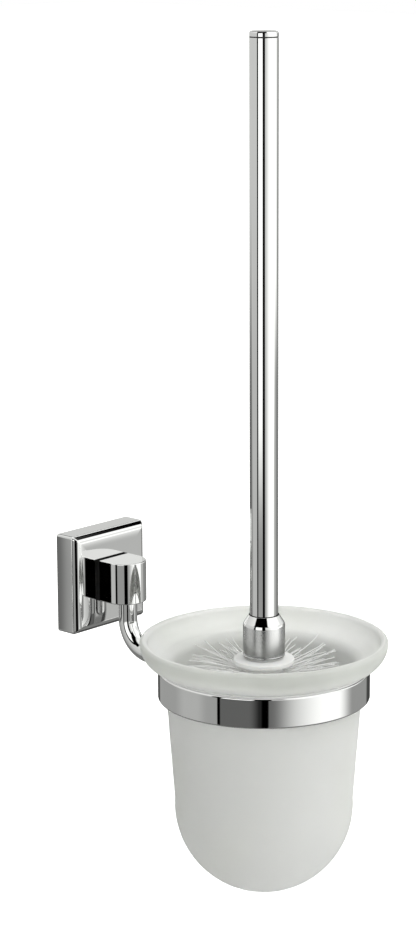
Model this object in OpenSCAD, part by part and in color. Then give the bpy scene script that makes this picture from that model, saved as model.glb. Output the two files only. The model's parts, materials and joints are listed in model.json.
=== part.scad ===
// Wall-mounted toilet brush holder: a square wall plate carries a bent rod and a ring,
// a frosted glass cup hangs in the ring by its flared lip, and a long-handled brush stands in it.
// The origin is the centre of the wall plate's back. The wall is the plane Y = 0,
// the holder stands out towards -Y, and +Z is up.

/* [Wall plate] */
// Width and height of the square wall plate
plate_w = 48; // [46:1:56]
// Depth of the plate's plain side wall
plate_side = 10; // [9.5:0.5:11]
// Distance from the wall to the plate's flat field
plate_field = 13; // [12.5:0.5:14]
// Width of the rounded moulding around the field
moulding_w = 3.8; // [3:0.2:4.4]
// Thickness of the plate's walls
plate_wall = 2.5; // [2:0.5:3]
// Distance between the two wall screw holes
screw_spacing = 26; // [24:1:28]
// Radius of the two wall screw holes
screw_hole_r = 2.6; // [2.3:0.1:3]

/* [Arm] */
// Width of the post that stands out of the plate
post_w = 20; // [19:1:22]
// Height of the post
post_h = 20; // [19:1:22]
// Distance from the wall to the front of the post
post_front = 32; // [31:1:34]
// Height of the post's centre above the plate's centre
post_rise = 0.6; // [0:0.2:1]
// Diameter of the bent rod
rod_d = 9; // [8:0.5:10]
// Distance from the wall to the rod's upright stretch
rod_out = 23.4; // [23:0.2:24]
// Radius of the rod's bend, on its centre line
bend_r = 15; // [14:1:16]

/* [Ring] */
// Distance from the wall to the axis of the ring, the cup and the brush
reach = 110.5; // [108:0.5:120]
// Outer diameter of the ring
ring_d = 97.5; // [97:0.5:98]
// Height of the ring
ring_h = 14; // [12:1:16]
// Thickness of the ring's band
ring_t = 2; // [1.8:0.1:2]
// Depth of the ring's middle below the plate's centre
ring_drop = 31.8; // [31:0.2:34]

/* [Glass cup] */
// Outer diameter of the cup's flared rim
rim_d = 114; // [113:1:116]
// Radius of the lip's rounded underside
lip_r = 11; // [10.5:0.5:11]
// Thickness of the glass
glass_t = 3.5; // [3:0.5:4]
// Outer radius of the cup's round bottom
bowl_r = 41.4; // [41:0.2:42]
// Slope of the cup's wall away from upright, in degrees
wall_slope = 4; // [3.6:0.2:4]
// Height of the cup from its bottom to its widest point
cup_h = 119; // [117:1:122]

/* [Brush] */
// Diameter of the handle
handle_d = 13; // [12:0.5:13.5]
// Height of the handle's top above the cup's rim
handle_rise = 276.5; // [240:0.5:290]
// Diameter of the handle's collar
collar_d = 19.2; // [18:0.1:20]
// Height of the collar
collar_h = 19.3; // [18:0.1:22]
// Depth of the collar's lower end below the cup's rim
collar_drop = 6.2; // [5:0.2:7]
// Diameter of the disc on top of the brush head
disc_d = 28; // [26:1:30]
// Radius of the brush over its bristle tips
brush_r = 35; // [34:0.5:35]
// Number of tufts in each row
tufts_per_row = 12; // [10:1:12]

/* [Hidden] */
$fn = 96;
eps = 0.01;

// Wall plate and its bracket
plate_corner_r = 1.2;
moulding_step = 0.35;
moulding_rise = plate_field - plate_side;
bracket_w = plate_w - 2 * plate_wall - 0.6;
bracket_t = 6;
bracket_corner_r = 3;
screw_sink_r = 5;
screw_sink_depth = 2.4;
grub_r = 1.5;
grub_fit = 0.05;
grub_y = -bracket_t / 2;
grub_len = 4;
grub_recess = 0.5;

// Post, its screw from behind and the pins that stop it turning
post_r = post_w / 2;
post_edge = 0.4;
post_gap = 1;
post_foot_in = 0.6;
post_bottom = post_rise - post_h / 2;
post_screw_r = 2;
post_screw_z = post_rise + 3.4;
post_screw_depth = 8;
screw_head_r = 3.8;
screw_head_h = 2.4;
washer_r = 4.6;
washer_t = 0.8;
pin_r = 1.25;
pin_x = 6.2;
pin_depth = 3.5;

// Bent rod
rod_r = rod_d / 2;
rod_seat = 8;
rod_top = post_bottom + rod_seat;
rod_low = 1.4;
rod_z = -ring_drop - rod_low;
bend_z = rod_z + bend_r;
bend_y = -rod_out - bend_r;
rod_grub_z = post_bottom + rod_seat / 2;
rod_grub_len = rod_out - rod_r - plate_field - 0.1;

// Ring
ring_r = ring_d / 2;
ring_in_r = ring_r - ring_t;
ring_top = -ring_drop + ring_h / 2;
ring_bottom = -ring_drop - ring_h / 2;
ring_edge = 0.3;
ring_screw_len = 10;
cone_h = 1.7;
gasket_in_r = ring_in_r - 0.5;
gasket_out_r = ring_in_r - 0.05;
gasket_flange_r = ring_r - 0.5;
gasket_foot = 1;

// Glass cup. Heights are measured in the holder's own frame.
rim_r = rim_d / 2;
lip_centre_r = rim_r - lip_r;
lip_gap = 0.15;
gasket_t = 0.75;
rim_z = ring_top + gasket_t + lip_gap + lip_r;
bowl_z = rim_z - cup_h + bowl_r;
bead_r = glass_t / 2;
throat_r = 4.6;

// Brush handle
handle_r = handle_d / 2;
tube_t = 1;
tube_in_r = handle_r - tube_t;
handle_top = rim_z + handle_rise;
cap_h = 2.7;
cap_edge = 0.5;
cap_plug = 8;
seam = 0.2;
collar_r = collar_d / 2;
collar_bottom = rim_z - collar_drop;
collar_top = collar_bottom + collar_h;
collar_chamfer = 4.1;
collar_neck_r = handle_r + 0.5;
shoulder_turn = atan((collar_r - collar_neck_r) / collar_chamfer);
shoulder_r = 3.2;
collar_ring_h = 0.9;
tube_seat = 8;
tube_bottom = collar_top - tube_seat;
fit = 0.03;
insert_h = 18;
stud_r = 3;
stud_up = 14;
stud_down = 19;

// Brush head
row_count = 9;
disc_r = disc_d / 2;
disc_top = collar_bottom - 1;
disc_t = 2.8;
boss_r = 8;
core_r = 8.5;
bristle_floor = bowl_z - bowl_r + glass_t + 0.3;
core_tip_z = bowl_z - 6;
first_row_z = disc_top - 7.5;
last_row_z = core_tip_z;
row_pitch = (first_row_z - last_row_z) / (row_count - 1);
socket_depth = 3;
band_in_r = core_r - socket_depth - 0.6;
band_out_r = core_r - socket_depth + 0.7;
band_h = 0.8;
tuft_root_r = 1.15;
tuft_tip_r = 1.9;
tip_angles = [35, 62];
tip_counts = [9, 5];
// How far the tufts of a row lean upwards from level, in degrees
function row_tilt(row) = row == 1 ? 11 : row == 2 ? 5 : row == row_count ? -8 : 0;
// Height at which a row of tufts leaves the core
function row_z(row) = first_row_z - (row - 1) * row_pitch;
// Points on an arc, from angle a0 to a1 about a centre
function arc(centre, r, a0, a1, steps) =
    [for (i = [0:steps]) let (a = a0 + (a1 - a0) * i / steps) centre + r * [cos(a), sin(a)]];

// ---- Shared shapes ----

// A square with rounded corners, centred
module round_square(w, r) {
    square([w, w - 2 * r], center = true);
    square([w - 2 * r, w], center = true);
    for (x = [-1, 1], y = [-1, 1]) translate([x, y] * (w / 2 - r)) circle(r);
}

// Turns a shape drawn in X and Z so that its extrusion runs from the wall towards -Y
module from_wall(depth) {
    rotate([90, 0, 0]) linear_extrude(depth) children();
}

// A headless screw with a hexagon socket, its socket end at the origin, pointing along +Z
module grub(r, len) {
    socket_r = r * 0.55;
    socket_depth = min(2, len / 2);
    difference() {
        union() {
            cylinder(r = r, h = len - r);
            translate([0, 0, len - r]) cylinder(r1 = r, r2 = r * 0.4, h = r);
        }
        translate([0, 0, -eps]) cylinder(r = socket_r, h = socket_depth, $fn = 6);
    }
}

// Everything around the axis of the ring, the cup and the brush
module on_axis() {
    translate([0, -reach, 0]) children();
}

// ---- Wall plate ----

// The plate's outer shape: the same section drawn out along Z and along X, so its moulding meets in mitres
module plate_body() {
    intersection() {
        from_wall(plate_field) round_square(plate_w, plate_corner_r);
        plate_section();
        rotate([0, 90, 0]) plate_section();
    }
}

// The plate's outline seen from above, drawn out along Z
module plate_section() {
    half = plate_w / 2;
    curve_r = moulding_w - moulding_step;
    translate([0, 0, -half - 1]) linear_extrude(plate_w + 2) union() {
        translate([-half, -plate_side]) square([plate_w, plate_side]);
        translate([-half + moulding_w, -plate_field]) square([plate_w - 2 * moulding_w, plate_field]);
        intersection() {
            for (x = [-1, 1]) translate([x * (half - moulding_w), -plate_field + curve_r]) circle(curve_r);
            translate([-half, -plate_field]) square([plate_w, moulding_rise + eps]);
        }
    }
}

module wall_bracket() color("silver") difference() {
    from_wall(bracket_t) round_square(bracket_w, bracket_corner_r);
    for (x = [-1, 1]) translate([x * screw_spacing / 2, 0, 0]) rotate([90, 0, 0]) {
        translate([0, 0, -1]) cylinder(r = screw_hole_r, h = bracket_t + 2);
        translate([0, 0, bracket_t - screw_sink_depth])
            cylinder(r1 = screw_hole_r, r2 = screw_sink_r, h = screw_sink_depth + eps);
    }
    translate([0, grub_y, -bracket_w / 2 - 1]) cylinder(r = grub_r + grub_fit, h = 1 + grub_len / 2);
}

module wall_plate() color("gainsboro") difference() {
    plate_body();
    translate([0, 1, 0])
        from_wall(plate_field - plate_wall + 1) round_square(plate_w - 2 * plate_wall, 1.5);
    translate([0, 0, post_screw_z]) rotate([90, 0, 0])
        cylinder(r = post_screw_r + 0.2, h = plate_field + 1);
    for (x = [-1, 1]) translate([x * pin_x, 0, post_rise]) rotate([90, 0, 0])
        cylinder(r = pin_r + fit, h = plate_field + 1);
    translate([0, grub_y, -plate_w / 2 - 1]) cylinder(r = grub_r + grub_fit, h = plate_wall + 2);
}

module plate_set_screw() color("dimgray")
    translate([0, grub_y, -plate_w / 2 + grub_recess]) grub(grub_r, grub_len);

// ---- Post ----

// The post seen from above: flat against the plate, half round at the front
module post_outline(inset) {
    curve_y = post_front - post_r;
    intersection() {
        translate([0, -curve_y]) circle(post_r - inset);
        translate([-post_r, -post_front]) square([post_w, post_r]);
    }
    translate([-post_r + inset, -curve_y]) square([post_w - 2 * inset, curve_y - plate_field - post_gap]);
}

module arm_post() color("gainsboro") difference() {
    translate([0, 0, post_bottom]) union() {
        translate([0, 0, post_edge]) linear_extrude(post_h - 2 * post_edge) post_outline(0);
        linear_extrude(post_h) post_outline(post_edge);
        // a slightly smaller foot stands on the plate and leaves a fine shadow gap
        translate([-post_r + post_foot_in, -plate_field - post_gap - 0.1, post_foot_in])
            cube([post_w - 2 * post_foot_in, post_gap + 0.1, post_h - 2 * post_foot_in]);
    }
    translate([0, -rod_out, post_bottom - 1]) cylinder(r = rod_r + fit, h = rod_seat + 1);
    translate([0, -plate_field + 1, post_screw_z]) rotate([90, 0, 0])
        cylinder(r = post_screw_r + fit, h = post_screw_depth + 1.5);
    for (x = [-1, 1]) translate([x * pin_x, -plate_field + 1, post_rise]) rotate([90, 0, 0])
        cylinder(r = pin_r + fit, h = pin_depth + 1.2);
    translate([0, -plate_field + 1, rod_grub_z]) rotate([90, 0, 0])
        cylinder(r = grub_r + grub_fit, h = rod_grub_len + 2);
}

module locating_pins() color("silver")
    for (x = [-1, 1]) translate([x * pin_x, -plate_field + plate_wall, post_rise]) rotate([90, 0, 0])
        cylinder(r = pin_r, h = plate_wall + pin_depth);

module post_washer() color("silver")
    translate([0, -plate_field + plate_wall + washer_t, post_screw_z]) rotate([90, 0, 0]) difference() {
        cylinder(r = washer_r, h = washer_t);
        translate([0, 0, -1]) cylinder(r = post_screw_r + 0.15, h = washer_t + 2);
    }

module post_screw() color("silver")
    translate([0, -plate_field + plate_wall + washer_t, post_screw_z]) rotate([90, 0, 0]) difference() {
        union() {
            cylinder(r = post_screw_r, h = washer_t + plate_wall + post_screw_depth);
            translate([0, 0, -screw_head_h]) cylinder(r = screw_head_r, h = screw_head_h);
        }
        translate([0, 0, -screw_head_h - eps]) cylinder(r = 1.6, h = 1.4, $fn = 6);
    }

module rod_set_screw() color("dimgray")
    translate([0, -plate_field - 0.05, rod_grub_z]) rotate([90, 0, 0]) grub(grub_r, rod_grub_len);

// ---- Rod and ring ----

module arm_rod() color("gainsboro") difference() {
    union() {
        translate([0, -rod_out, bend_z]) cylinder(r = rod_r, h = rod_top - bend_z);
        translate([0, bend_y, bend_z]) rotate([0, 90, 0]) rotate_extrude(angle = 90)
            translate([bend_r, 0]) circle(rod_r);
        translate([0, bend_y, rod_z]) rotate([90, 0, 0])
            cylinder(r = rod_r, h = reach - ring_r + bend_y + 1);
    }
    // the end is hollowed to sit on the ring
    on_axis() translate([0, 0, ring_bottom]) cylinder(r = ring_r + 0.02, h = ring_h);
    translate([0, -reach + ring_r - 1, rod_z]) rotate([-90, 0, 0])
        cylinder(r = post_screw_r + fit, h = ring_screw_len);
}

module holder_ring() color("gainsboro") difference() {
    on_axis() rotate_extrude() polygon([
        [ring_in_r + ring_edge, ring_bottom], [ring_r - ring_edge, ring_bottom],
        [ring_r, ring_bottom + ring_edge], [ring_r, ring_top - ring_edge],
        [ring_r - ring_edge, ring_top], [ring_in_r + ring_edge, ring_top],
        [ring_in_r, ring_top - ring_edge], [ring_in_r, ring_bottom + ring_edge]
    ]);
    translate([0, -reach + ring_in_r - 1, rod_z]) rotate([-90, 0, 0]) {
        cylinder(r = post_screw_r + 0.1, h = ring_t + 2);
        cylinder(r = screw_head_r + 0.1, h = 1.2);
        translate([0, 0, 1.2]) cylinder(r1 = screw_head_r + 0.1, r2 = post_screw_r + 0.1, h = cone_h);
    }
}

module ring_screw() color("silver")
    translate([0, -reach + ring_in_r + 0.2, rod_z]) rotate([-90, 0, 0]) difference() {
        union() {
            cylinder(r1 = screw_head_r, r2 = post_screw_r, h = cone_h);
            cylinder(r = post_screw_r, h = ring_screw_len);
        }
        translate([0, 0, -eps]) cylinder(r = 1.3, h = 1.2, $fn = 6);
    }

module ring_gasket() color("whitesmoke") on_axis() rotate_extrude() polygon([
    [gasket_in_r, ring_bottom + gasket_foot], [gasket_out_r, ring_bottom + gasket_foot],
    [gasket_out_r, ring_top + fit], [gasket_flange_r, ring_top + fit],
    [gasket_flange_r, ring_top + gasket_t], [gasket_in_r, ring_top + gasket_t]
]);

// ---- Glass cup ----

module glass_cup() color("lightcyan") on_axis() rotate_extrude() polygon(concat(
    // outside, from the bottom up to the rim
    arc([0, bowl_z], bowl_r, -90, wall_slope, 40),
    arc([lip_centre_r, rim_z], lip_r, -90, 0, 16),
    // rounded edge of the rim
    arc([rim_r - bead_r, rim_z], bead_r, 0, 180, 10),
    // inside of the lip, then the throat
    arc([lip_centre_r, rim_z], lip_r - glass_t, 0, -90, 12),
    arc([lip_centre_r, rim_z - lip_r + glass_t - throat_r], throat_r, 90, 180 - wall_slope, 10),
    // inside of the bowl, down to the bottom
    arc([0, bowl_z], bowl_r - glass_t, wall_slope, -90, 40)
));

// ---- Brush handle ----

module handle_tube() color("gainsboro") on_axis() rotate_extrude() polygon([
    [tube_in_r, tube_bottom], [handle_r, tube_bottom],
    [handle_r, handle_top - cap_h - seam], [handle_r - seam, handle_top - cap_h],
    [tube_in_r, handle_top - cap_h]
]);

module handle_cap() color("gainsboro") on_axis() translate([0, 0, handle_top]) rotate_extrude() polygon([
    [0, -cap_h - cap_plug], [tube_in_r - fit, -cap_h - cap_plug], [tube_in_r - fit, -cap_h + fit],
    [handle_r - seam, -cap_h + fit], [handle_r, -cap_h + fit + seam],
    [handle_r, -cap_edge], [handle_r - cap_edge, 0], [0, 0]
]);

module handle_insert() color("silver") on_axis() translate([0, 0, tube_bottom]) difference() {
    cylinder(r = tube_in_r - fit, h = insert_h);
    translate([0, 0, -1]) cylinder(r = stud_r + fit, h = stud_up + 1);
}

module handle_collar() color("silver") on_axis() rotate_extrude() polygon([
    [stud_r + 0.1, collar_bottom + collar_ring_h + fit],
    [collar_r - 0.35, collar_bottom + collar_ring_h + fit],
    [collar_r, collar_bottom + collar_ring_h + 0.35],
    // rounded shoulder, then the cone up to the tube
    each arc([collar_r - shoulder_r, collar_top - collar_chamfer - shoulder_r * tan(shoulder_turn / 2)],
        shoulder_r, 0, shoulder_turn, 6),
    [collar_neck_r, collar_top],
    [handle_r + fit, collar_top],
    [handle_r + fit, tube_bottom - fit],
    [stud_r + 0.1, tube_bottom - fit]
]);

module collar_washer() color("gainsboro") on_axis() translate([0, 0, collar_bottom]) difference() {
    cylinder(r = collar_r, h = collar_ring_h);
    translate([0, 0, -1]) cylinder(r = stud_r + 0.1, h = collar_ring_h + 2);
}

module brush_stud() color("silver") on_axis()
    translate([0, 0, collar_bottom - stud_down])
        cylinder(r = stud_r, h = stud_down + (tube_bottom - collar_bottom) + stud_up - 1);

// ---- Brush head ----

// One tuft, leaving the core's surface at the origin along +X; its root goes back into the core
module tuft(len, root_only = false) {
    rotate([0, 90, 0]) {
        translate([0, 0, -socket_depth]) cylinder(r = tuft_root_r, h = socket_depth + 1, $fn = 24);
        if (!root_only) cylinder(r1 = tuft_root_r, r2 = tuft_tip_r, h = len, $fn = 24);
    }
}

// The tufts of one row, every second row turned by half a step, held by one band
// that lies in the core behind their roots
module tuft_row(row, root_only = false) {
    tilt = row_tilt(row);
    translate([0, 0, row_z(row) - band_h / 2]) difference() {
        cylinder(r = band_out_r, h = band_h);
        translate([0, 0, -1]) cylinder(r = band_in_r, h = band_h + 2);
    }
    len = (brush_r - core_r) / cos(tilt) - 0.4;
    step = 360 / tufts_per_row;
    for (i = [0:tufts_per_row - 1]) rotate([0, 0, (i + (row % 2) / 2) * step])
        translate([core_r, 0, row_z(row)]) rotate([0, -tilt, 0]) tuft(len, root_only);
}

// The tufts that fan out from the core's round tip
module tip_tufts(root_only = false) {
    tip_len = bowl_z - bristle_floor - core_r - 7;
    for (ring = [0:len(tip_angles) - 1], i = [0:tip_counts[ring] - 1])
        rotate([0, 0, i * 360 / tip_counts[ring]]) translate([0, 0, core_tip_z])
            rotate([0, tip_angles[ring], 0]) translate([core_r, 0, 0])
                tuft(tip_len, root_only);
    translate([0, 0, core_tip_z]) rotate([0, 90, 0]) translate([core_r, 0, 0])
        tuft(core_tip_z - core_r - bristle_floor, root_only);
}

module brush_core() color("white") on_axis() difference() {
    union() {
        rotate_extrude() polygon([
            [0, collar_bottom - fit], [boss_r, collar_bottom - fit], [boss_r, disc_top],
            [disc_r - 0.6, disc_top], [disc_r, disc_top - 0.6],
            [disc_r, disc_top - disc_t + 0.8], [disc_r - 0.8, disc_top - disc_t],
            [core_r + 1, disc_top - disc_t], [core_r, disc_top - disc_t - 1.2],
            [core_r, core_tip_z], [0, core_tip_z]
        ]);
        translate([0, 0, core_tip_z]) sphere(core_r);
    }
    translate([0, 0, collar_bottom - stud_down - 1]) cylinder(r = stud_r + fit, h = stud_down + 2);
    for (row = [1:row_count]) tuft_row(row, true);
    tip_tufts(true);
}

module bristle_row(row) color("whitesmoke") on_axis() tuft_row(row);

module bristle_tip() color("whitesmoke") on_axis() tip_tufts();

wall_bracket();
wall_plate();
plate_set_screw();
locating_pins();
post_screw();
post_washer();
arm_post();
rod_set_screw();
arm_rod();
holder_ring();
ring_screw();
ring_gasket();
glass_cup();
handle_tube();
handle_cap();
handle_insert();
handle_collar();
collar_washer();
brush_stud();
brush_core();
for (row = [1:row_count]) bristle_row(row);
bristle_tip();
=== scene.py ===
"""Looks for a wall-mounted toilet brush holder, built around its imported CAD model.

The CAD frame gives every place; this script adds smooth chrome, frosted glass, moulded plastic,
loose bristle filaments, a plain studio and the camera. Lengths are in metres.
"""
import json
import math
import random

import bpy
from mathutils import Matrix, Vector


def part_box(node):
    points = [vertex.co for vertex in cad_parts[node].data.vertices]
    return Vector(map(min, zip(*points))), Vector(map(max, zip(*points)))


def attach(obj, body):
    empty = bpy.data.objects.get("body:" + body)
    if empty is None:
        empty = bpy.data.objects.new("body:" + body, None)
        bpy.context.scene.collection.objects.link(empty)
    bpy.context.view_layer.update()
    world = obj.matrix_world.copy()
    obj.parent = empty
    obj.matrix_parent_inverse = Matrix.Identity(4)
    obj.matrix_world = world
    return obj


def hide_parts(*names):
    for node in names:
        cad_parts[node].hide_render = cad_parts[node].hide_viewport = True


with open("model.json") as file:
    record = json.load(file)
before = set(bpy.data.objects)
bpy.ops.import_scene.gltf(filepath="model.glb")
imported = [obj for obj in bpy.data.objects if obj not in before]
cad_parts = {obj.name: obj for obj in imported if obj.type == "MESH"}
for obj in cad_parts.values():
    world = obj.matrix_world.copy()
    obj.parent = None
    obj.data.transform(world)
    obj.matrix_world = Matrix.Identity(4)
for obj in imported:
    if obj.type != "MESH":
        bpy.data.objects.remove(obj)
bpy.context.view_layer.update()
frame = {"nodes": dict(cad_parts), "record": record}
NODES = frame["nodes"]
MM = 0.001
TAU = 2 * math.pi
GOLDEN_ANGLE = 2.399963


# ---- Places and sizes, read from the frame ----

AXIS_Y = sum(corner.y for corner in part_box("handle_tube")) / 2
GLASS_LOW, GLASS_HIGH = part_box("glass_cup")
RING_LOW, RING_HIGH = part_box("holder_ring")
GASKET_LOW, GASKET_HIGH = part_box("ring_gasket")
PLATE_LOW, PLATE_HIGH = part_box("wall_plate")
POST_LOW, POST_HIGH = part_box("arm_post")
ROD_LOW, ROD_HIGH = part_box("arm_rod")
COLLAR_LOW, COLLAR_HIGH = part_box("handle_collar")
WASHER_LOW, WASHER_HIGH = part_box("collar_washer")
TUBE_LOW, TUBE_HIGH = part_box("handle_tube")
CAP_LOW, CAP_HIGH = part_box("handle_cap")
CORE_LOW, CORE_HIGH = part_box("brush_core")

GLASS_T = 3.5 * MM
LIP_R = 11 * MM
BOWL_R = 41.4 * MM
WALL_SLOPE = math.radians(4)
THROAT_R = 4.6 * MM
RIM_R = GLASS_HIGH.x
RIM_Z = GLASS_HIGH.z - GLASS_T / 2
BOWL_Z = GLASS_LOW.z + BOWL_R


# ---- Mesh helpers ----

def link(name, mesh):
    obj = bpy.data.objects.new(name, mesh)
    bpy.context.scene.collection.objects.link(obj)
    return obj


def turned(v, angle):
    c, s = math.cos(angle), math.sin(angle)
    return Vector((c * v.x - s * v.y, s * v.x + c * v.y))


def outline(points, closed=True, steps=6):
    """Rounds the corners of a counter-clockwise outline of (x, y, radius) points.

    Returns (point, outward normal) pairs. A corner of radius 0 comes back twice, once for each side."""
    out = []
    count = len(points)
    for i, (x, y, radius) in enumerate(points):
        here = Vector((x, y))
        before = Vector(points[i - 1][:2])
        after = Vector(points[(i + 1) % count][:2])
        way_in = (here - before).normalized()
        way_out = (after - here).normalized()
        normal_in = Vector((way_in.y, -way_in.x))
        normal_out = Vector((way_out.y, -way_out.x))
        if not closed and i in (0, count - 1):
            out.append((here, normal_out if i == 0 else normal_in))
            continue
        turn = math.atan2(way_in.cross(way_out), way_in.dot(way_out))
        if radius <= 0:
            out += [(here, normal_in), (here, normal_out)]
            continue
        side = math.copysign(1, turn)
        start = here - way_in * radius * math.tan(abs(turn) / 2)
        centre = start - normal_in * radius * side
        for s in range(steps + 1):
            normal = turned(normal_in, turn * s / steps)
            out.append((centre + normal * radius * side, normal))
    return out


def arc(cx, cy, radius, start, end, steps, inside=False):
    """(point, normal) pairs on an arc, in degrees. inside turns the normals to the arc's centre."""
    out = []
    for s in range(steps + 1):
        a = math.radians(start + (end - start) * s / steps)
        normal = Vector((math.cos(a), math.sin(a)))
        out.append((Vector((cx, cy)) + normal * radius, -normal if inside else normal))
    return out


def skin(name, rings, loop=True, caps=(False, False)):
    """Skins rings of (point, normal) pairs with smooth faces that keep those exact normals.

    loop joins the last ring to the first. Rings at the same place make a sharp edge between them."""
    count = len(rings[0])
    verts = [pair[0] for ring in rings for pair in ring]
    normals = [pair[1] for ring in rings for pair in ring]
    faces = []
    for i in range(len(rings) if loop else len(rings) - 1):
        j = (i + 1) % len(rings)
        for k in range(count):
            m = (k + 1) % count
            corners = []
            for q in (i * count + k, i * count + m, j * count + m, j * count + k):
                if all((verts[q] - verts[c]).length > 1e-7 for c in corners):
                    corners.append(q)
            if len(corners) >= 3:
                faces.append(corners)
    for capped, index in zip(caps, (0, len(rings) - 1)):
        if capped:
            ring = [pair[0] for pair in rings[index]]
            across = (ring[count // 3] - ring[0]).cross(ring[2 * count // 3] - ring[0]).normalized()
            outward = across if index else -across
            base = len(verts)
            verts += ring + [sum(ring, Vector()) / count]
            normals += [outward] * (count + 1)
            for k in range(count):
                tri = [base + k, base + (k + 1) % count, base + count]
                faces.append(tri if index else tri[::-1])
    mesh = bpy.data.meshes.new(name)
    mesh.from_pydata(verts, [], faces)
    mesh.update()
    for face in mesh.polygons:
        face.use_smooth = True
    mesh.normals_split_custom_set_from_vertices([n.normalized() for n in normals])
    return link(name, mesh)


def lathe(name, profile, steps=128, loop=True):
    """Turns a profile of (radius, height) points about the axis of the cup and the brush."""
    rings = []
    for point, normal in profile:
        ring = []
        for k in range(steps):
            a = TAU * k / steps
            out = Vector((math.cos(a), math.sin(a), 0))
            where = out * point.x + Vector((0, AXIS_Y, point.y))
            ring.append((where, out * normal.x + Vector((0, 0, normal.y))))
        rings.append(ring)
    return skin(name, rings, loop)


def sweep(name, path, radius):
    """A round bar along (point, direction) pairs that all lie in the plane X = 0."""
    steps = 48
    rings = []
    side = Vector((1, 0, 0))
    for point, way in path:
        up = way.cross(side).normalized()
        ring = []
        for k in range(steps):
            a = TAU * k / steps
            normal = side * math.cos(a) + up * math.sin(a)
            ring.append((point + normal * radius, normal))
        rings.append(ring)
    return skin(name, rings, loop=False, caps=(True, True))


# ---- Materials ----

class Nodes:
    """Short calls for building a node tree."""

    def __init__(self, tree):
        self.tree = tree
        self.tree.nodes.clear()

    def add(self, kind, inputs=None, **settings):
        node = self.tree.nodes.new(kind)
        for key, value in settings.items():
            setattr(node, key, value)
        for key, value in (inputs or {}).items():
            self.put(node, key, value)
        return node

    def put(self, node, key, value):
        if isinstance(value, bpy.types.NodeSocket):
            self.tree.links.new(value, node.inputs[key])
        else:
            node.inputs[key].default_value = value

    def maths(self, operation, *values, clamp=False):
        node = self.add("ShaderNodeMath", operation=operation, use_clamp=clamp)
        for i, value in enumerate(values):
            self.put(node, i, value)
        return node.outputs[0]

    def step(self, value, low, high):
        """0 below low, 1 above high, smooth between."""
        node = self.add("ShaderNodeMapRange", interpolation_type="SMOOTHSTEP")
        for key, v in (("Value", value), ("From Min", low), ("From Max", high)):
            self.put(node, key, v)
        return node.outputs[0]

    def noise(self, scale, detail=3.0, roughness=0.5, stretch=(1, 1, 1)):
        where = self.add("ShaderNodeTexCoord").outputs["Object"]
        mapping = self.add("ShaderNodeMapping", {"Vector": where, "Scale": stretch})
        inputs = {"Vector": mapping.outputs[0], "Scale": scale, "Detail": detail, "Roughness": roughness}
        return self.add("ShaderNodeTexNoise", inputs).outputs[0]

    def ramp(self, factor, stops):
        """A colour ramp over (position, colour) stops."""
        node = self.add("ShaderNodeValToRGB", {"Fac": factor})
        elements = node.color_ramp.elements
        while len(elements) < len(stops):
            elements.new(1.0)
        for element, (position, colour) in zip(elements, stops):
            element.position = position
            element.color = colour if len(colour) == 4 else (*colour, 1)
        return node.outputs[0]

    def span(self, factor, low, high):
        """Maps 0..1 to low..high."""
        node = self.add("ShaderNodeMapRange", {"Value": factor, "To Min": low, "To Max": high})
        return node.outputs[0]


def grey(v, warm=0.0):
    return (v + warm, v, v - warm)


def surface(name, build):
    material = bpy.data.materials.new(name)
    material.use_nodes = True
    nodes = Nodes(material.node_tree)
    shader = nodes.add("ShaderNodeBsdfPrincipled")
    out = nodes.add("ShaderNodeOutputMaterial", {"Surface": shader.outputs[0]})
    build(nodes, shader)
    return material


def bump(nodes, shader, height, distance, strength=1.0):
    inputs = {"Height": height, "Distance": distance, "Strength": strength}
    nodes.put(shader, "Normal", nodes.add("ShaderNodeBump", inputs).outputs[0])


def metal(name, light, dark, rough, smooth_scale, ripple, tint=0.0):
    """Plated or bare metal: the tone and the polish wander a little, and the surface ripples faintly."""

    def build(nodes, shader):
        cloud = nodes.noise(smooth_scale, 4.0)
        fine = nodes.noise(smooth_scale * 14, 2.0)
        shader.inputs["Metallic"].default_value = 1.0
        tone = nodes.ramp(cloud, [(0.3, grey(dark, tint)), (0.7, grey(light, tint))])
        nodes.put(shader, "Base Color", tone)
        nodes.put(shader, "Roughness", nodes.span(fine, rough[0], rough[1]))
        bump(nodes, shader, cloud, ripple)

    return surface(name, build)


def glass_build(nodes, shader):
    """White etched glass, with painted shade: the outside of the lip is coloured a little greyer."""
    cloud = nodes.noise(20.0, 2.0, 0.5, (1.0, 1.0, 0.7))
    etch = nodes.noise(2600.0, 2.0, 0.6)
    where = nodes.add("ShaderNodeTexCoord").outputs["Object"]
    height = nodes.add("ShaderNodeSeparateXYZ", {"Vector": where}).outputs["Z"]
    axis = nodes.add("ShaderNodeCombineXYZ", {"Y": AXIS_Y, "Z": height}).outputs[0]
    away = nodes.add("ShaderNodeVectorMath", {0: where, 1: axis}, operation="SUBTRACT").outputs[0]
    normal = nodes.add("ShaderNodeNewGeometry").outputs["Normal"]
    facing = nodes.add("ShaderNodeVectorMath", {0: away, 1: normal}, operation="DOT_PRODUCT")
    outside = nodes.step(facing.outputs["Value"], 0.0, 30 * MM)
    lip = nodes.step(height, RIM_Z - LIP_R, RIM_Z - 2 * MM)
    # Painted shade: the lip's outside, which faces down and out, is darkened in the colour.
    lip_painted_shade = nodes.maths("MULTIPLY", nodes.maths("MULTIPLY", outside, lip), 0.5)
    tone = nodes.maths("SUBTRACT", cloud, lip_painted_shade)
    stops = [(0.0, (0.75, 0.76, 0.735)), (0.3, (0.895, 0.905, 0.88)), (0.7, (0.965, 0.972, 0.948))]
    nodes.put(shader, "Base Color", nodes.ramp(tone, stops))
    nodes.put(shader, "Roughness", nodes.span(cloud, 0.6, 0.74))
    shader.inputs["IOR"].default_value = 1.46
    shader.inputs["Transmission Weight"].default_value = 0.4
    shader.inputs["Subsurface Weight"].default_value = 1.0
    shader.inputs["Subsurface Radius"].default_value = (1.0, 1.0, 1.0)
    shader.inputs["Subsurface Scale"].default_value = 3 * MM
    bump(nodes, shader, etch, 0.02 * MM, 0.5)


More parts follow.
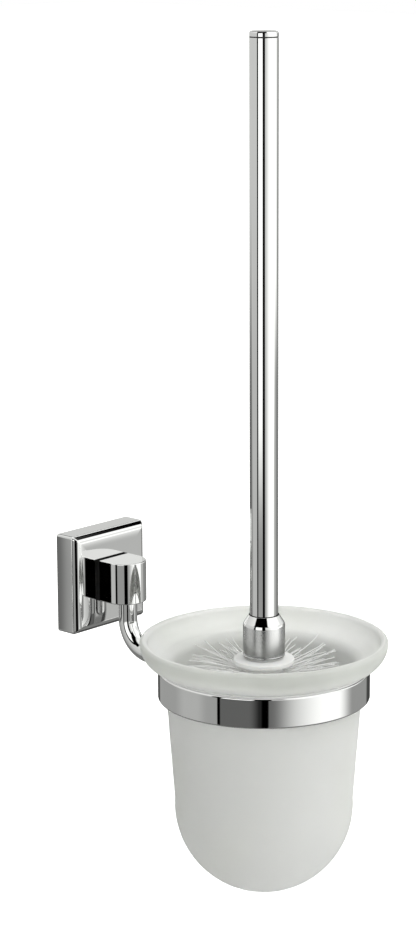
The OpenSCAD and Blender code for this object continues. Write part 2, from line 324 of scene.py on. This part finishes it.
def plastic_build(nodes, shader):
    """White moulded plastic with a little scattering."""
    cloud = nodes.noise(60.0, 3.0)
    fine = nodes.noise(1500.0, 2.0)
    stops = [(0.3, grey(0.94, 0.003)), (0.7, grey(0.97, 0.002))]
    nodes.put(shader, "Base Color", nodes.ramp(cloud, stops))
    nodes.put(shader, "Roughness", nodes.span(cloud, 0.28, 0.42))
    shader.inputs["Subsurface Weight"].default_value = 0.25
    shader.inputs["Subsurface Radius"].default_value = (1.0, 0.9, 0.8)
    shader.inputs["Subsurface Scale"].default_value = 2 * MM
    bump(nodes, shader, fine, 0.01 * MM, 0.6)


def bristle_build(nodes, shader):
    """White nylon."""
    cloud = nodes.noise(220.0, 2.0)
    stops = [(0.3, grey(0.96, 0.003)), (0.7, grey(0.995, 0.001))]
    nodes.put(shader, "Base Color", nodes.ramp(cloud, stops))
    nodes.put(shader, "Roughness", nodes.span(cloud, 0.3, 0.45))


def gasket_build(nodes, shader):
    """Clear soft plastic, nearly white."""
    cloud = nodes.noise(90.0, 3.0)
    nodes.put(shader, "Base Color", nodes.ramp(cloud, [(0.3, grey(0.92)), (0.7, grey(0.97))]))
    nodes.put(shader, "Roughness", nodes.span(cloud, 0.3, 0.45))
    shader.inputs["Transmission Weight"].default_value = 0.1


def black_and_gap_shade_build(nodes, shader):
    """Near-black with no sheen: the blackened set screws, and painted shade in the narrow gap behind the
    post and in the handle's joints.
    """
    cloud = nodes.noise(200.0, 3.0)
    nodes.put(shader, "Base Color", nodes.ramp(cloud, [(0.3, grey(0.012)), (0.7, grey(0.022))]))
    nodes.put(shader, "Roughness", nodes.span(cloud, 0.6, 0.8))
    shader.inputs["Specular IOR Level"].default_value = 0.0


MATERIALS = {
    "chrome": metal("chrome", 0.93, 0.90, (0.012, 0.035), 30.0, 0.012 * MM),
    "satin_chrome": metal("satin_chrome", 0.90, 0.85, (0.22, 0.27), 60.0, 0.01 * MM),
    "steel": metal("steel", 0.62, 0.52, (0.28, 0.42), 160.0, 0.03 * MM, 0.008),
    "dark_steel": surface("dark_steel", black_and_gap_shade_build),
    "bracket_zinc": metal("bracket_zinc", 0.56, 0.44, (0.4, 0.6), 120.0, 0.08 * MM, -0.006),
    "frosted_glass": surface("frosted_glass", glass_build),
    "clear_plastic": surface("clear_plastic", gasket_build),
    "white_plastic": surface("white_plastic", plastic_build),
    "bristle": surface("bristle", bristle_build),
}


def finish_with(obj, slot):
    obj.data.materials.clear()
    obj.data.materials.append(MATERIALS[slot])


def piece(obj, body, slot, *replaced):
    """Finishes a piece: gives it the material of its slot, parents it to its body and hides the CAD nodes
    that it stands for.
    """
    finish_with(obj, slot)
    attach(obj, body)
    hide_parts(*replaced)
    return obj


for part in frame["record"]["subparts"]:
    finish_with(NODES[part["node"]], part["material_slot"])


# ---- Wall plate ----

SIDE_LEAN = (0.3, 0.15)
CORNER_STEPS = 8
SIDE_STEPS = 6
PLATE_CORNER = 1.2 * MM


def square_ring(half, corner, depth, across, along, lean=0.0, crowned=False):
    """A rounded square at a distance from the wall, with normals tilted from its sides to its face.

    across and along are the parts of the normal that point out of the square and away from the wall;
    lean turns the normals of the left and right sides towards the wall, and crowned keeps the lower
    side flat."""
    flat = half - corner
    points = []
    for s in range(CORNER_STEPS + 1):
        a = math.pi / 2 * s / CORNER_STEPS
        out = Vector((math.cos(a), 0, math.sin(a)))
        points.append((Vector((flat, 0, flat)) + out * corner, out))
    for s in range(1, SIDE_STEPS):
        points.append((Vector((flat - 2 * flat * s / SIDE_STEPS, 0, half)), Vector((0, 0, 1))))
    ring = []
    for quarter in range(4):
        place = Matrix.Rotation(-quarter * math.pi / 2, 3, "Y")
        for point, out in points:
            out = place @ out
            bulge = across * (1 - max(0.0, -out.z)) if crowned else across
            normal = out * bulge + Vector((0, lean * out.x * out.x - along, 0))
            ring.append((place @ point + Vector((0, -depth, 0)), normal))
    return ring


def wall_plate():
    """Plain side wall, a small step, a rounded moulding with a narrow flat, and a field."""

    def ring(point, normal, **shading):
        corner = max(0.25 * MM, PLATE_CORNER - 0.25 * (half - point.x))
        return square_ring(point.x, corner, point.y, normal.x, normal.y, **shading)

    half = PLATE_HIGH.x
    field = -PLATE_LOW.y
    side = 10 * MM
    step = 0.35 * MM
    wall = 2.5 * MM
    profile = outline([
        (half - wall, field - wall, 0), (half - wall, 0, 0), (half, 0, 0.1 * MM),
        (half, side, 0.25 * MM), (half - step, side, 0)
    ], closed=False)
    rings = []
    for point, normal in profile:
        lean = 0.0
        if normal.x > 0.9:
            lean = SIDE_LEAN[0] + (SIDE_LEAN[1] - SIDE_LEAN[0]) * point.y / side
        rings.append(ring(point, normal, lean=lean))
    for point, normal in moulding(half - step, side, field):
        rings.append(ring(point, normal, crowned=normal.y > 0.998))
    obj = skin("plate_shell", rings, loop=False, caps=(True, True))
    piece(obj, "holder", "chrome", "wall_plate")


def moulding(edge, low, high):
    """(point, normal) pairs from the step to the field: a round, a narrow flat, a round, a faint crown."""
    crown = 7 * MM
    tilt = math.radians(2.6)
    crown_drop = crown * tilt / 2.5
    turn, flat = math.radians(42), 0.7 * MM
    wide = 3.45 * MM - flat * math.sin(turn)
    deep = high - low - crown_drop - flat * math.cos(turn)
    start = math.pi / 2 - 2 * math.atan(deep / wide)
    radius = wide / math.cos(start)
    at = Vector((edge, low))
    pairs = []
    for first, last, steps in ((start, turn, 8), (turn, math.pi / 2 - tilt, 10)):
        for s in range(steps + 1):
            a = first + (last - first) * s / steps
            normal = Vector((math.cos(a), math.sin(a)))
            base = Vector((math.cos(first), math.sin(first)))
            pairs.append((at + (normal - base) * radius, normal))
        at = pairs[-1][0] + Vector((-math.sin(turn), math.cos(turn))) * flat * (first == start)
    at = pairs[-1][0]
    for s in range(1, 11):
        u = s / 10
        fall = tilt * (1 - u) ** 1.5
        depth = crown_drop * (1 - (1 - u) ** 2.5)
        pairs.append((Vector((at.x - crown * u, at.y + depth)), Vector((math.sin(fall), math.cos(fall)))))
    return pairs


# ---- Post ----

# The shadow line between the post and the plate, and the turn of the front's reflections.
POST_GAP = 1.6 * MM
FRONT_TURN = math.radians(5)


def post_ring(inset, z, nz):
    """The post's outline at one height: flat sides and a half-round front, with normals tilted by nz."""
    flat_steps, curve_steps = 4, 40
    half = POST_HIGH.x
    back_y = POST_HIGH.y - POST_GAP
    front_y = POST_LOW.y + half
    across = math.sqrt(max(0.0, 1 - nz * nz))
    ring = [(Vector((-half + inset, back_y, z)), Vector((0, across, nz)))]
    for s in range(flat_steps):
        y = back_y + (front_y - back_y) * s / flat_steps
        ring.append((Vector((-half + inset, y, z)), Vector((-across, 0, nz))))
    for s in range(curve_steps + 1):
        a = math.pi + math.pi * s / curve_steps
        out = Vector((math.cos(a), math.sin(a), 0))
        lit = a - FRONT_TURN * math.sin(math.pi * s / curve_steps)
        normal = Vector((math.cos(lit), math.sin(lit), 0)) * across + Vector((0, 0, nz))
        ring.append((out * (half - inset) + Vector((0, front_y, z)), normal))
    for s in range(1, flat_steps + 1):
        y = front_y + (back_y - front_y) * s / flat_steps
        ring.append((Vector((half - inset, y, z)), Vector((across, 0, nz))))
    ring.append((Vector((half - inset, back_y, z)), Vector((0, across, nz))))
    return ring


def post():
    """The chrome block with softened edges, and a near-black slab in the gap behind it: painted shadow for
    the shadow line between post and plate.
    """
    edge = 0.5 * MM
    low, high = POST_LOW.z, POST_HIGH.z
    rings = []
    for s in range(7):
        a = math.pi / 2 * s / 6
        rings.append(post_ring(edge * (1 - math.sin(a)), low + edge * (1 - math.cos(a)), -math.cos(a)))
    for s in range(7):
        a = math.pi / 2 * s / 6
        rings.append(post_ring(edge * (1 - math.cos(a)), high - edge * (1 - math.sin(a)), math.sin(a)))
    piece(skin("post_block", rings, loop=False, caps=(True, True)), "holder", "chrome", "arm_post")
    # Painted shadow: a near-black slab fills the back of the gap between the post and the plate.
    gap_shadow = []
    inset = 0.12 * MM
    for z in (low + inset, high - inset):
        ring = []
        for x, y in ((-1, 0), (-1, -1), (1, -1), (1, 0)):
            out = Vector((x, 0, 0)) if y == 0 else Vector((0, -1, 0))
            ring.append((Vector((x * (POST_HIGH.x - inset), POST_HIGH.y + 1.1 * y * POST_GAP, z)), out))
        gap_shadow.append(ring)
    piece(skin("post_gap_painted_shadow", gap_shadow, loop=False, caps=(True, True)), "holder", "dark_steel", "arm_post")


# ---- Rod and ring ----

def bent_rod():
    """Down from the post, round a bend, and level to the ring."""
    radius = ROD_HIGH.x
    upright_y = ROD_HIGH.y - radius
    level_z = ROD_LOW.z + radius
    bend = 15 * MM
    path = [(Vector((0, upright_y, ROD_HIGH.z)), Vector((0, 0, -1)))]
    for s in range(33):
        a = math.pi / 2 * s / 32
        way = Vector((0, -math.sin(a), -math.cos(a)))
        at = Vector((0, upright_y - bend * (1 - math.cos(a)), level_z + bend * (1 - math.sin(a))))
        path.append((at, way))
    path.append((Vector((0, ROD_LOW.y + 0.2 * MM, level_z)), Vector((0, -1, 0))))
    piece(sweep("rod_bar", path, radius), "holder", "chrome", "arm_rod")


def ring_band():
    outer = RING_HIGH.x
    inner = outer - 2 * MM
    low, high = RING_LOW.z, RING_HIGH.z
    edge = 0.35 * MM
    profile = outline([
        (inner, low, edge), (outer, low, 0.8 * MM), (outer, high, 0.8 * MM), (inner, high, edge)
    ], steps=10)
    piece(lathe("ring_band", profile, 256), "holder", "chrome", "holder_ring")


def gasket():
    """A thin sleeve inside the ring, with a small flange on its top edge."""
    inner = RING_HIGH.x - 2.5 * MM
    outer = RING_HIGH.x - 2.05 * MM
    flange = GASKET_HIGH.x
    low, high = GASKET_LOW.z, GASKET_HIGH.z
    ledge = RING_HIGH.z + 0.03 * MM
    soft = 0.15 * MM
    profile = outline([
        (inner, low, soft), (outer, low, soft), (outer, ledge, 0), (flange, ledge, soft),
        (flange, high, soft), (inner, high, soft)
    ], steps=3)
    piece(lathe("gasket_sleeve", profile, 192), "holder", "clear_plastic", "ring_gasket")


# ---- Glass cup ----

def glass_cup():
    """A round bowl with sloping walls and a flared lip that ends in a half-round bead."""
    lip_centre = RIM_R - LIP_R
    slope = math.degrees(WALL_SLOPE)
    bead = GLASS_T / 2
    profile = arc(0, BOWL_Z, BOWL_R, -90, slope, 48)
    wall_end = Vector((lip_centre, RIM_Z - LIP_R))
    way = (wall_end - profile[-1][0]).normalized()
    profile.append((wall_end, Vector((way.y, -way.x))))
    profile += arc(lip_centre, RIM_Z, LIP_R, -90, 0, 24)
    profile += arc(RIM_R - bead, RIM_Z, bead, 0, 180, 16)
    profile += arc(lip_centre, RIM_Z, LIP_R - GLASS_T, 0, -90, 20, inside=True)
    throat_z = RIM_Z - LIP_R + GLASS_T - THROAT_R
    profile += arc(lip_centre, throat_z, THROAT_R, 90, 180 - slope, 16)
    profile += arc(0, BOWL_Z, BOWL_R - GLASS_T, slope, -90, 48, inside=True)
    cup = piece(lathe("glass_body", profile, 224, loop=False), "cup", "frosted_glass", "glass_cup")
    cup.visible_glossy = False


# ---- Handle ----

STUD_BORE = 3.1 * MM


def handle_tube():
    radius = TUBE_HIGH.x
    inner = radius - 1 * MM
    low, high = TUBE_LOW.z, TUBE_HIGH.z
    profile = outline([
        (inner, low, 0), (radius, low, 0.1 * MM), (radius, high, 0.4 * MM), (inner, high, 0)
    ])
    piece(lathe("handle_skin", profile, 160), "brush", "chrome", "handle_tube")


def seam(name, inner, outer, low, high, node, soft=0.0):
    """A thin dark ring laid in the joint beside a CAD node's end: painted shade for the dark line of the
    joint.
    """
    profile = outline([(inner, low, 0), (outer, low, 0), (outer, high, soft), (inner, high, 0)])
    piece(lathe(name, profile, 128), "brush", "dark_steel", node)


def handle_cap():
    """A cap with a plug inside the tube and two soft edges round its top."""
    radius = CAP_HIGH.x
    low, high = CAP_HIGH.z - 2.66 * MM, CAP_HIGH.z
    plug = radius - 1.05 * MM
    profile = outline([
        (0, CAP_LOW.z, 0), (plug, CAP_LOW.z, 0.2 * MM), (plug, low, 0), (radius, low, 0.4 * MM),
        (radius, high - 0.8 * MM, 0.25 * MM), (radius - 0.3 * MM, high - 0.16 * MM, 0.15 * MM),
        (radius - 0.75 * MM, high, 0.3 * MM), (0, high, 0)
    ], closed=False, steps=10)
    piece(lathe("cap_button", profile, 160, loop=False), "brush", "chrome", "handle_cap")
    # Painted shade: a dark ring in the joint between the cap and the tube.
    seam("cap_seam_painted_shade", plug, radius - 0.06 * MM, low - 0.3 * MM, low + 0.3 * MM, "handle_cap")


def handle_collar():
    """A satin sleeve with a polished cone on top, which meets it in a wide soft shoulder."""
    radius = COLLAR_HIGH.x
    low, high = COLLAR_LOW.z, COLLAR_HIGH.z
    neck = TUBE_HIGH.x + 0.5 * MM
    bore = TUBE_HIGH.x + 0.03 * MM
    profile = outline([
        (STUD_BORE, TUBE_LOW.z, 0), (STUD_BORE, low, 0), (radius, low, 0.7 * MM),
        (radius, high - 4.1 * MM, 3.2 * MM), (neck, high, 0.12 * MM), (bore, high, 0),
        (bore, TUBE_LOW.z, 0)
    ], closed=False)
    edge = next(i for i, (p, n) in enumerate(profile) if p.x > neck and n.y > 0.01)
    piece(lathe("collar_skin", profile[:edge], 160, loop=False), "brush", "satin_chrome", "handle_collar")
    piece(lathe("collar_cone", profile[edge - 1:], 160, loop=False), "brush", "chrome", "handle_collar")
    # Painted shade: a dark ring in the joint where the tube enters the collar.
    ends = (high - 0.2 * MM, high + 0.22 * MM)
    seam("collar_seam_painted_shade", bore, neck - 0.05 * MM, *ends, "handle_collar", soft=0.2 * MM)


def collar_washer():
    radius = WASHER_HIGH.x
    soft = 0.3 * MM
    low, high = WASHER_LOW.z, WASHER_HIGH.z
    profile = outline([
        (STUD_BORE, low, 0), (radius, low, soft), (radius, high, soft), (STUD_BORE, high, 0)
    ])
    piece(lathe("washer_skin", profile, 160), "brush", "satin_chrome", "collar_washer")


# ---- Brush head ----

# Tufts stand in level rows, except those tilted by ROW_TILT degrees. TIP_RINGS holds the tip's
# tufts as (degrees below level, how many).
ROWS = 9
TUFTS = 12
CORE_R = 8.5 * MM
BRUSH_R = 35 * MM
ROW_TILT = {1: 11, 2: 5, ROWS: -8}
TIP_RINGS = ((35, 9), (62, 5), (90, 1))
LEVEL_ROW_Z = [sum(corner.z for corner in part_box(f"bristle_row_{row}")) / 2 for row in (3, 4)]
ROW_PITCH = LEVEL_ROW_Z[0] - LEVEL_ROW_Z[1]
CORE_TIP_Z = CORE_LOW.z + CORE_R


def brush_core():
    """Boss under the collar, a crowned disc, and the core that carries the tufts."""
    disc_r = CORE_HIGH.x
    top = CORE_HIGH.z
    disc_top = WASHER_LOW.z - 1 * MM
    disc_low = disc_top - 2.8 * MM
    profile = arc(0, CORE_TIP_Z, CORE_R, -90, 0, 16)
    profile += outline([
        (CORE_R, CORE_TIP_Z, 0), (CORE_R, disc_low - 1.2 * MM, 0.8 * MM),
        (CORE_R + 1 * MM, disc_low, 0.4 * MM), (disc_r, disc_low, 0.8 * MM),
        (disc_r, disc_top - 0.5 * MM, 0.5 * MM),
        (8 * MM, disc_top, 0.3 * MM), (8 * MM, top, 0.1 * MM), (3 * MM, top, 0)
    ], closed=False)[1:]
    core = piece(lathe("head_core", profile, 128, loop=False), "brush", "white_plastic", "brush_core")
    core.visible_glossy = False


def inside_cup(p):
    """Keeps a bristle point a little off the glass."""
    flat = Vector((p.x, p.y - AXIS_Y, 0))
    limit = BRUSH_R
    if flat.length > limit:
        flat *= limit / flat.length
    p = Vector((flat.x, flat.y + AXIS_Y, p.z))
    centre = Vector((0, AXIS_Y, BOWL_Z))
    reach = BOWL_R - GLASS_T - 0.4 * MM
    if p.z < BOWL_Z and (p - centre).length > reach:
        p = centre + (p - centre).normalized() * reach
    return p


def filament(verts, faces, root, way, length, rng):
    """One thin bent filament, as a tapering tube."""
    sides, joints = 4, 6
    side = way.cross(Vector((0.3, 0.2, 1))).normalized()
    over = way.cross(side).normalized()
    bend = Vector((rng.gauss(0, 1), rng.gauss(0.4, 1))) * 0.075 * length
    wave = Vector((rng.gauss(0, 1), rng.gauss(0, 1))) * 0.012 * length
    phase = rng.uniform(0, TAU)
    base = len(verts)
    for j in range(joints + 1):
        t = j / joints
        push = bend * t * t + wave * math.sin(phase + t * 7) * t
        at = inside_cup(root + way * length * t + side * push.x + over * push.y)
        radius = (0.3 - 0.07 * t) * MM
        for s in range(sides):
            a = TAU * s / sides
            verts.append(at + (side * math.cos(a) + over * math.sin(a)) * radius)
    for j in range(joints):
        for s in range(sides):
            n = (s + 1) % sides
            a, b = base + j * sides, base + (j + 1) * sides
            faces.append((a + s, a + n, b + n, b + s))
    faces.append(tuple(base + joints * sides + s for s in range(sides)))


def tuft(verts, faces, root, way, length, rng):
    """A bundle of filaments that fans out from one hole in the core."""
    count, spread = 8, 0.15
    side = way.cross(Vector((0, 0.01, 1))).normalized()
    over = way.cross(side).normalized()
    for i in range(count):
        r = math.sqrt((i + 0.5) / count)
        a = i * GOLDEN_ANGLE + rng.uniform(-0.3, 0.3)
        off = side * math.cos(a) * r + over * math.sin(a) * r
        lean = (way + off * spread + off * rng.uniform(-0.04, 0.05)).normalized()
        filament(verts, faces, root + off * 1.0 * MM, lean, length * rng.uniform(0.93, 1.02), rng)


def bristle_piece(name, tufts, seed, node):
    rng = random.Random(seed)
    verts, faces = [], []
    for root, way, length in tufts:
        tuft(verts, faces, root, way, length, rng)
    mesh = bpy.data.meshes.new(name)
    mesh.from_pydata(verts, [], faces)
    mesh.update()
    for face in mesh.polygons:
        face.use_smooth = True
    piece(link(name, mesh), "brush", "bristle", node).visible_glossy = False


def row_tufts(row):
    tilt = math.radians(ROW_TILT.get(row, 0))
    height = LEVEL_ROW_Z[0] - (row - 3) * ROW_PITCH
    tufts = []
    for i in range(TUFTS):
        a = TAU * (i + (row % 2) / 2) / TUFTS
        out = Vector((math.cos(a), math.sin(a), 0))
        way = out * math.cos(tilt) + Vector((0, 0, math.sin(tilt)))
        root = Vector((0, AXIS_Y, height)) + out * (CORE_R - 0.5 * MM)
        tufts.append((root, way, (BRUSH_R - CORE_R) / math.cos(tilt)))
    return tufts


def tip_tufts():
    tufts = []
    centre = Vector((0, AXIS_Y, CORE_TIP_Z))
    for down, count in TIP_RINGS:
        drop = math.radians(down)
        for i in range(count):
            a = TAU * i / count
            way = Vector((math.cos(a) * math.cos(drop), math.sin(a) * math.cos(drop), -math.sin(drop)))
            root = centre + way * (CORE_R - 0.5 * MM)
            tufts.append((root, way, BOWL_R - GLASS_T - CORE_R - 5 * MM))
    return tufts


# ---- Studio ----

# The camera stands CAMERA_AWAY from the cup's axis and CAMERA_RISE above the rim.
CAMERA_AZIMUTH = math.radians(-48.59)
CAMERA_PITCH = math.radians(12.75)
CAMERA_AWAY = 1.1394
CAMERA_RISE = 0.3394
CAMERA_LENS = 99.57
CAMERA_SHIFT = -0.0598
FLOOR_Z = GLASS_LOW.z - 0.35
INTO = Vector((-math.sin(CAMERA_AZIMUTH), math.cos(CAMERA_AZIMUTH), 0))
RIGHT = Vector((math.cos(CAMERA_AZIMUTH), math.sin(CAMERA_AZIMUTH), 0))


def camera():
    """The photograph's view: from the left, a little above the rim."""
    data = bpy.data.cameras.new("camera")
    data.lens = CAMERA_LENS
    data.sensor_width = 36
    data.shift_x = CAMERA_SHIFT
    data.clip_end = 50
    obj = bpy.data.objects.new("camera", data)
    bpy.context.scene.collection.objects.link(obj)
    obj.location = Vector((0, AXIS_Y, RIM_Z + CAMERA_RISE)) - INTO * CAMERA_AWAY
    look = INTO * math.cos(CAMERA_PITCH) - Vector((0, 0, math.sin(CAMERA_PITCH)))
    obj.rotation_euler = look.to_track_quat("-Z", "Y").to_euler()
    bpy.context.scene.camera = obj


def floor():
    """A plain pale floor well under the cup."""

    def build(nodes, shader):
        cloud = nodes.noise(1.5, 2.0)
        nodes.put(shader, "Base Color", nodes.ramp(cloud, [(0.3, grey(0.93)), (0.7, grey(0.95))]))
        shader.inputs["Roughness"].default_value = 0.9
        shader.inputs["Emission Color"].default_value = (1, 1, 1, 1)
        shader.inputs["Emission Strength"].default_value = 0.75

    mesh = bpy.data.meshes.new("floor")
    half = 12
    corners = [(x * half, y * half, FLOOR_Z) for x, y in ((-1, -1), (1, -1), (1, 1), (-1, 1))]
    mesh.from_pydata(corners, [], [(0, 1, 2, 3)])
    obj = link("floor", mesh)
    mesh.materials.append(surface("floor_paper", build))
    obj.visible_glossy = False
    obj.visible_diffuse = False


# Soft boxes and dark flags around the object, later ones in front. Angles are in degrees: the turn to
# the right of the camera's side as (from, to) with its two softnesses, the height above level
# likewise, and the brightness.
STUDIO = (
    ("back_low", (147, 205), (4, 4), (-60, -9), (3, 2), 0.06),
    ("back_high", (122, 205), (3, 6), (21, 50), (2, 4), 0.0),
    ("left_box", (-45, -12), (2, 2), (-12.6, 60), (2, 5), 1.3),
    ("left_back", (-150, -113), (6, 7), (-16.6, -9), (0.4, 3), 0.14),
    ("left_wall", (-101, -57), (7, 3), (-16.6, -9), (0.4, 3), 0.5),
    ("left_wall_low", (-104, -70), (10, 8), (-24, -16.6), (3, 0.4), 0.44),
    ("left_gap", (-56.5, -46), (1, 1), (-17, 50), (0.3, 3), 0.0),
    ("front_dim", (2, 24), (1, 14), (-24, -16.8), (3, 0.3), 0.13),
    ("right_low", (88, 147), (6, 4), (-24, -9.5), (4, 2), 0.31),
    ("right_box", (28, 97), (22, 10), (-16.8, 60), (0.3, 10), 1.2),
    ("right_box_low", (38, 99), (36, 13), (-24, -16.8), (4, 0.3), 1.15),
    ("right_side", (88, 130), (5, 5), (-16.4, -11), (0.3, 2), 0.48),
    ("right_corner", (109, 150), (5, 5), (-16.4, -10), (0.3, 2), 0.25),
    ("right_high", (60, 118), (10, 13), (-9.5, 2), (1.5, 2), 1.2),
    ("right_end", (129, 180), (10, 10), (-9.5, 2), (1.5, 2), 0.2),
    ("right_top", (60, 119), (10, 4), (2, 60), (2, 10), 1.2),
    ("right_haze", (84, 135), (6, 6), (8, 24), (3, 4), 0.86),
    ("table", (-50, -4), (1, 1), (-60, -17), (2, 0.3), 0.12),
    ("table_edge", (-51.5, -48), (0.6, 0.6), (-60, -17), (2, 0.3), 0.0),
    ("camera_side", (-10, 8), (1.2, 1.2), (-16.8, 40), (0.3, 4), 0.0),
    ("camera_low", (-9, 5), (8, 1), (-60, -16.8), (2, 0.3), 0.0),
    ("overhead", (-64, 26), (3, 3), (29, 62), (3, 6), 0.0),
)
# The room's brightness by height, where no panel stands.
SKY = (
    (-90, 0.2), (-30, 0.2), (-20, 0.3), (-18, 0.35), (-15, 0.3), (-12.5, 0.42),
    (-9, 0.56), (-4, 0.61), (5, 0.62), (18, 0.64), (45, 0.9), (90, 0.95)
)
TINT = (0.99, 1.0, 0.975)
# The even light that the matt pieces see: its mean, and the way it grows, to the right and to the back.
SOFT_MEAN = 0.87
SOFT_GROWTH = RIGHT * 0.38 + INTO * 0.12


def studio():
    """The panels for what the chrome mirrors, the even light for the matt pieces, white paper behind."""
    world = bpy.data.worlds.new("studio")
    bpy.context.scene.world = world
    world.use_nodes = True
    nodes = Nodes(world.node_tree)
    way = nodes.add("ShaderNodeTexCoord").outputs["Generated"]

    def along(direction):
        node = nodes.add("ShaderNodeVectorMath", {0: way, 1: direction}, operation="DOT_PRODUCT")
        return node.outputs["Value"]

    turn = nodes.maths("ARCTAN2", along(RIGHT), along(-INTO))
    turn = nodes.maths("MULTIPLY", turn, 180 / math.pi)
    height = nodes.maths("MULTIPLY", nodes.maths("ARCSINE", along(Vector((0, 0, 1)))), 180 / math.pi)
    stops = [((degrees + 90) / 180, grey(value)) for degrees, value in SKY]
    light = nodes.ramp(nodes.maths("DIVIDE", nodes.maths("ADD", height, 90.0), 180.0), stops)

    def window(value, ends, softs):
        rises = nodes.step(value, ends[0] - softs[0], ends[0] + softs[0])
        falls = nodes.step(value, ends[1] - softs[1], ends[1] + softs[1])
        return nodes.maths("MULTIPLY", rises, nodes.maths("SUBTRACT", 1.0, falls))

    for name, turns, turn_softs, heights, height_softs, value in STUDIO:
        mask = window(turn, turns, turn_softs)
        if turns[1] > 180:
            mask = nodes.maths("ADD", mask, window(turn, [t - 360 for t in turns], turn_softs))
        mask = nodes.maths("MULTIPLY", mask, window(height, heights, height_softs))
        mix = nodes.add("ShaderNodeMix", data_type="RGBA", label=name)
        nodes.put(mix, 0, mask)
        nodes.put(mix, 6, light)
        nodes.put(mix, 7, (value, value, value, 1))
        light = mix.outputs[2]
    path = nodes.add("ShaderNodeLightPath")
    soft = nodes.maths("ADD", along(SOFT_GROWTH), SOFT_MEAN)
    mix = nodes.add("ShaderNodeMix", data_type="RGBA")
    direct = nodes.maths("LESS_THAN", path.outputs["Transmission Depth"], 0.5)
    nodes.put(mix, 0, nodes.maths("MULTIPLY", direct, path.outputs["Is Glossy Ray"]))
    nodes.put(mix, 6, soft)
    nodes.put(mix, 7, light)
    tinted = nodes.add("ShaderNodeMix", {0: 1.0}, data_type="RGBA", blend_type="MULTIPLY")
    nodes.put(tinted, 6, mix.outputs[2])
    nodes.put(tinted, 7, (*TINT, 1))
    room = nodes.add("ShaderNodeBackground", {"Color": tinted.outputs[2], "Strength": 1.0})
    paper = nodes.add("ShaderNodeBackground", {"Color": (1, 1, 1, 1), "Strength": 1.0})
    inputs = {0: path.outputs["Is Camera Ray"], 1: room.outputs[0], 2: paper.outputs[0]}
    pick = nodes.add("ShaderNodeMixShader", inputs)
    nodes.add("ShaderNodeOutputWorld", {"Surface": pick.outputs[0]})


def key_light():
    """A weak soft lamp aimed at the cup from the right and above."""
    data = bpy.data.lights.new("key", "AREA")
    data.size = 0.7
    data.energy = 3
    obj = bpy.data.objects.new("key", data)
    bpy.context.scene.collection.objects.link(obj)
    turn, height = math.radians(60), math.radians(65)
    flat = RIGHT * math.sin(turn) - INTO * math.cos(turn)
    way = flat * math.cos(height) + Vector((0, 0, math.sin(height)))
    obj.location = Vector((0, AXIS_Y, RIM_Z)) + way * 1.4
    obj.rotation_euler = (-way).to_track_quat("-Z", "Y").to_euler()
    obj.visible_glossy = False


wall_plate()
post()
bent_rod()
ring_band()
gasket()
glass_cup()
handle_tube()
handle_cap()
handle_collar()
collar_washer()
brush_core()
for row in range(1, ROWS + 1):
    bristle_piece(f"filaments_{row}", row_tufts(row), row, f"bristle_row_{row}")
bristle_piece("filaments_tip", tip_tufts(), ROWS + 1, "bristle_tip")

camera()
floor()
studio()
key_light()
bpy.context.scene.view_settings.view_transform = "Standard"
